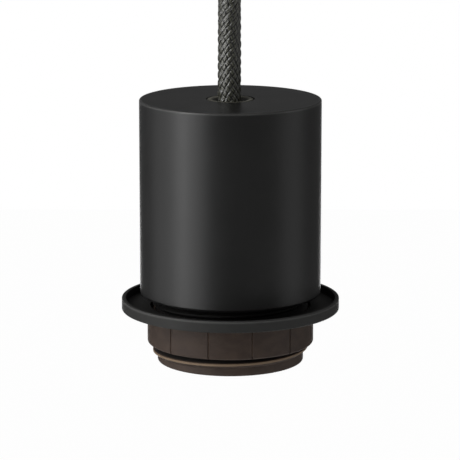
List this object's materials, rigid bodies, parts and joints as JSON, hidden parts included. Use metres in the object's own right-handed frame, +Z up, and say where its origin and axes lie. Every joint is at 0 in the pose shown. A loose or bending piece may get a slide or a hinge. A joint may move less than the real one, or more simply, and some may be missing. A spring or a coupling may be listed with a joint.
{
  "type": "pendant lamp holder",
  "caption": "Screw-lamp holder in a satin black metal cup, with a dished ring and a fluted screwed ring below, hanging on a braided cable from a small ceiling cup.",
  "frame": {"origin": "middle of the two ceiling screw holes, in the plane of the ceiling", "axes": "+Z up along the axis of the holder, +X along the line of the ceiling screw holes"},
  "size_m": [0.064, 0.06, 0.1273],
  "materials": {
    "satin_black_metal": "satin black powder coat on drawn steel",
    "black_grip": "black moulded nylon",
    "zinc_steel": "zinc-plated steel",
    "black_screw": "black-painted steel",
    "brown_moulding": "dark brown-black phenolic moulding, slightly glossy",
    "pale_moulding": "pale insulating moulding",
    "contact_brass": "plain brass",
    "nickel_sleeve": "nickel-plated brass sheet",
    "spring_steel": "spring steel",
    "grey_braid": "charcoal-grey woven textile sleeve on the sheath",
    "brown_core": "brown insulation",
    "blue_core": "blue insulation",
    "green_core": "green and yellow insulation"
  },
  "bodies": {
    "holder": {"metal_cup": "satin_black_metal", "grip_collar": "black_grip", "grip_screw": "zinc_steel", "threaded_tube": "zinc_steel", "lock_nut": "zinc_steel", "earth_tag": "contact_brass", "earth_screw": "zinc_steel", "holder_cap": "brown_moulding", "outer_shell": "brown_moulding", "contact_block": "pale_moulding", "live_terminal": "contact_brass", "neutral_terminal": "contact_brass", "terminal_screws": "zinc_steel", "thread_sleeve": "nickel_sleeve", "sleeve_rivets": "nickel_sleeve", "cable": "grey_braid", "live_core": "brown_core", "neutral_core": "blue_core", "earth_core": "green_core", "ceiling_cup": "satin_black_metal", "ceiling_grip_collar": "black_grip", "ceiling_grip_screw": "zinc_steel", "ceiling_bracket": "zinc_steel", "ceiling_side_screws": "black_screw", "connector_block": "pale_moulding", "connector_clamp_screws": "zinc_steel", "connector_fixing_screws": "zinc_steel"},
    "ring_carrier": {"dished_ring": "satin_black_metal"},
    "ring": {"shade_ring": "brown_moulding"},
    "contact": {"centre_contact": "contact_brass", "contact_spring": "spring_steel"}
  },
  "joints": [
    {"name": "ring_travel", "type": "slide", "parent": "holder", "child": "ring_carrier", "axis": [0, 0, 1], "range_m": [-0.012, 0.0029]},
    {"name": "ring_turn", "type": "hinge", "parent": "ring_carrier", "child": "ring", "pos_m": [0, 0, -0.118], "axis": [0, 0, 1], "range_deg": [-1730, 420]},
    {"name": "contact_press", "type": "slide", "parent": "holder", "child": "contact", "axis": [0, 0, 1], "range_m": [0, 0.0015], "stiffness_N_per_m": 400, "deforming": ["contact_spring"]}
  ],
  "couplings": [
    {"joint": "ring_turn", "follows": "ring_travel", "rad_per_m": 2513.3}
  ]
}
